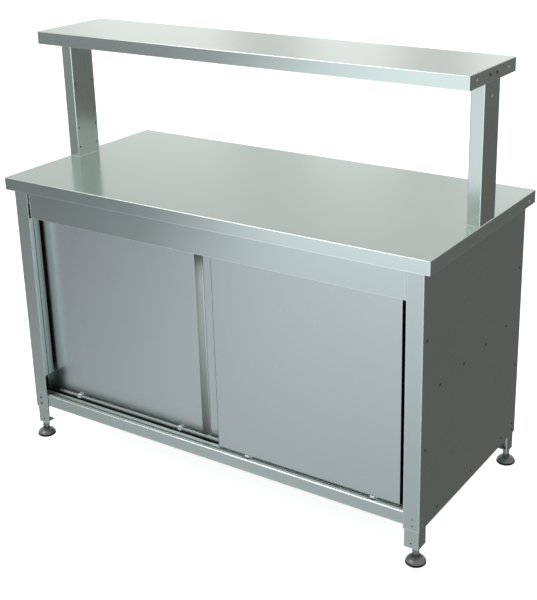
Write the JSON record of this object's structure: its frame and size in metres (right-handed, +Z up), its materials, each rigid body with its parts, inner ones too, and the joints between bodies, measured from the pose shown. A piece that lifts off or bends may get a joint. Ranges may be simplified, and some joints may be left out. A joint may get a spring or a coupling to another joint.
{
  "type": "cabinet table",
  "caption": "Stainless steel cabinet table with sliding doors below a box-edged worktop, an inner shelf, levelling feet and a raised overshelf on posts.",
  "frame": {"origin": "on the floor under the centre of the worktop", "axes": "+X to the table's right as seen from the front, +Y to the back, +Z up"},
  "size_m": [1.5024, 0.7, 1.352],
  "materials": {
    "steel_top": "brushed satin, grain along the length",
    "steel_post": "brushed satin, grain upright",
    "steel_leg": "brushed satin, grain upright",
    "steel_panel": "satin sheet",
    "steel_door": "satin sheet",
    "steel_fascia": "satin sheet",
    "steel_shelf": "satin sheet",
    "steel_track": "drawn strip",
    "steel_jamb": "satin sheet",
    "steel_inner": "mill finish",
    "foot_steel": "turned, bright",
    "rivet": "bright",
    "dark_screw": "blackened",
    "nylon": "smooth nylon",
    "foot_black": "moulded, semi-gloss",
    "board": "bare particle board"
  },
  "bodies": {
    "frame": {"back_panel": "steel_panel", "bonding_screw": "rivet", "bottom_shelf": "steel_shelf", "fascia": "steel_fascia", "fascia_cleats": "steel_inner", "foot_sockets": "foot_steel", "jamb_left": "steel_jamb", "jamb_right": "steel_jamb", "leg_front_left": "steel_leg", "leg_front_right": "steel_leg", "leg_rear_left": "steel_leg", "leg_rear_right": "steel_leg", "leg_rivets": "rivet", "lower_leg_front_left": "steel_leg", "lower_leg_front_right": "steel_leg", "lower_leg_rear_left": "steel_leg", "lower_leg_rear_right": "steel_leg", "lower_track": "steel_track", "middle_shelf": "steel_shelf", "overshelf": "steel_top", "overshelf_rivets": "rivet", "overshelf_screws": "dark_screw", "overshelf_stiffener_front": "steel_inner", "overshelf_stiffener_rear": "steel_inner", "panel_rivets": "rivet", "post_bases": "steel_inner", "post_bolts": "dark_screw", "post_left": "steel_post", "post_right": "steel_post", "rear_top_rail": "steel_inner", "shelf_packers": "steel_inner", "shelf_support_left": "steel_inner", "shelf_support_right": "steel_inner", "side_panel_left": "steel_panel", "side_panel_right": "steel_panel", "side_top_rail_left": "steel_inner", "side_top_rail_right": "steel_inner", "upper_track": "steel_track", "worktop": "steel_top", "worktop_core": "board"},
    "left_door": {"left_door": "steel_door", "left_roller_brackets": "steel_inner", "left_roller_axles": "steel_inner", "left_door_guides": "nylon"},
    "left_wheel_a": {"left_roller_a": "nylon"},
    "left_wheel_b": {"left_roller_b": "nylon"},
    "right_door": {"right_door": "steel_door", "right_roller_brackets": "steel_inner", "right_roller_axles": "steel_inner", "right_door_guides": "nylon"},
    "right_wheel_a": {"right_roller_a": "nylon"},
    "right_wheel_b": {"right_roller_b": "nylon"},
    "foot_front_left": {"foot_pad_front_left": "foot_black"},
    "stem_front_left": {"foot_stem_front_left": "foot_steel"},
    "foot_front_right": {"foot_pad_front_right": "foot_black"},
    "stem_front_right": {"foot_stem_front_right": "foot_steel"},
    "foot_rear_left": {"foot_pad_rear_left": "foot_black"},
    "stem_rear_left": {"foot_stem_rear_left": "foot_steel"},
    "foot_rear_right": {"foot_pad_rear_right": "foot_black"},
    "stem_rear_right": {"foot_stem_rear_right": "foot_steel"}
  },
  "joints": [
    {"name": "left_door_slide", "type": "slide", "parent": "frame", "child": "left_door", "axis": [1, 0, 0], "range_m": [0, 0.624]},
    {"name": "right_door_slide", "type": "slide", "parent": "frame", "child": "right_door", "axis": [1, 0, 0], "range_m": [-0.706, 0]},
    {"name": "left_wheel_a_turn", "type": "hinge", "parent": "left_door", "child": "left_wheel_a", "pos_m": [-0.568, -0.276, 0.1697], "axis": [0, 1, 0], "range_deg": [0, 3650]},
    {"name": "left_wheel_b_turn", "type": "hinge", "parent": "left_door", "child": "left_wheel_b", "pos_m": [-0.142, -0.276, 0.1697], "axis": [0, 1, 0], "range_deg": [0, 3650]},
    {"name": "right_wheel_a_turn", "type": "hinge", "parent": "right_door", "child": "right_wheel_a", "pos_m": [0.139, -0.311, 0.1697], "axis": [0, 1, 0], "range_deg": [-4100, 0]},
    {"name": "right_wheel_b_turn", "type": "hinge", "parent": "right_door", "child": "right_wheel_b", "pos_m": [0.571, -0.311, 0.1697], "axis": [0, 1, 0], "range_deg": [-4100, 0]},
    {"name": "foot_front_left_height", "type": "slide", "parent": "frame", "child": "foot_front_left", "axis": [0, 0, 1], "range_m": [-0.03, 0]},
    {"name": "stem_front_left_turn", "type": "hinge", "parent": "foot_front_left", "child": "stem_front_left", "pos_m": [-0.71, -0.318, 0.06], "axis": [0, 0, 1], "range_deg": [-6200, 0]},
    {"name": "foot_front_right_height", "type": "slide", "parent": "frame", "child": "foot_front_right", "axis": [0, 0, 1], "range_m": [-0.03, 0]},
    {"name": "stem_front_right_turn", "type": "hinge", "parent": "foot_front_right", "child": "stem_front_right", "pos_m": [0.71, -0.318, 0.06], "axis": [0, 0, 1], "range_deg": [-6200, 0]},
    {"name": "foot_rear_left_height", "type": "slide", "parent": "frame", "child": "foot_rear_left", "axis": [0, 0, 1], "range_m": [-0.03, 0]},
    {"name": "stem_rear_left_turn", "type": "hinge", "parent": "foot_rear_left", "child": "stem_rear_left", "pos_m": [-0.71, 0.317, 0.06], "axis": [0, 0, 1], "range_deg": [-6200, 0]},
    {"name": "foot_rear_right_height", "type": "slide", "parent": "frame", "child": "foot_rear_right", "axis": [0, 0, 1], "range_m": [-0.03, 0]},
    {"name": "stem_rear_right_turn", "type": "hinge", "parent": "foot_rear_right", "child": "stem_rear_right", "pos_m": [0.71, 0.317, 0.06], "axis": [0, 0, 1], "range_deg": [-6200, 0]}
  ],
  "couplings": [
    {"joint": "left_wheel_a_turn", "follows": "left_door_slide", "rad_per_m": 100},
    {"joint": "left_wheel_b_turn", "follows": "left_door_slide", "rad_per_m": 100},
    {"joint": "right_wheel_a_turn", "follows": "right_door_slide", "rad_per_m": 100},
    {"joint": "right_wheel_b_turn", "follows": "right_door_slide", "rad_per_m": 100},
    {"joint": "stem_front_left_turn", "follows": "foot_front_left_height", "rad_per_m": 3590.4},
    {"joint": "stem_front_right_turn", "follows": "foot_front_right_height", "rad_per_m": 3590.4},
    {"joint": "stem_rear_left_turn", "follows": "foot_rear_left_height", "rad_per_m": 3590.4},
    {"joint": "stem_rear_right_turn", "follows": "foot_rear_right_height", "rad_per_m": 3590.4}
  ]
}
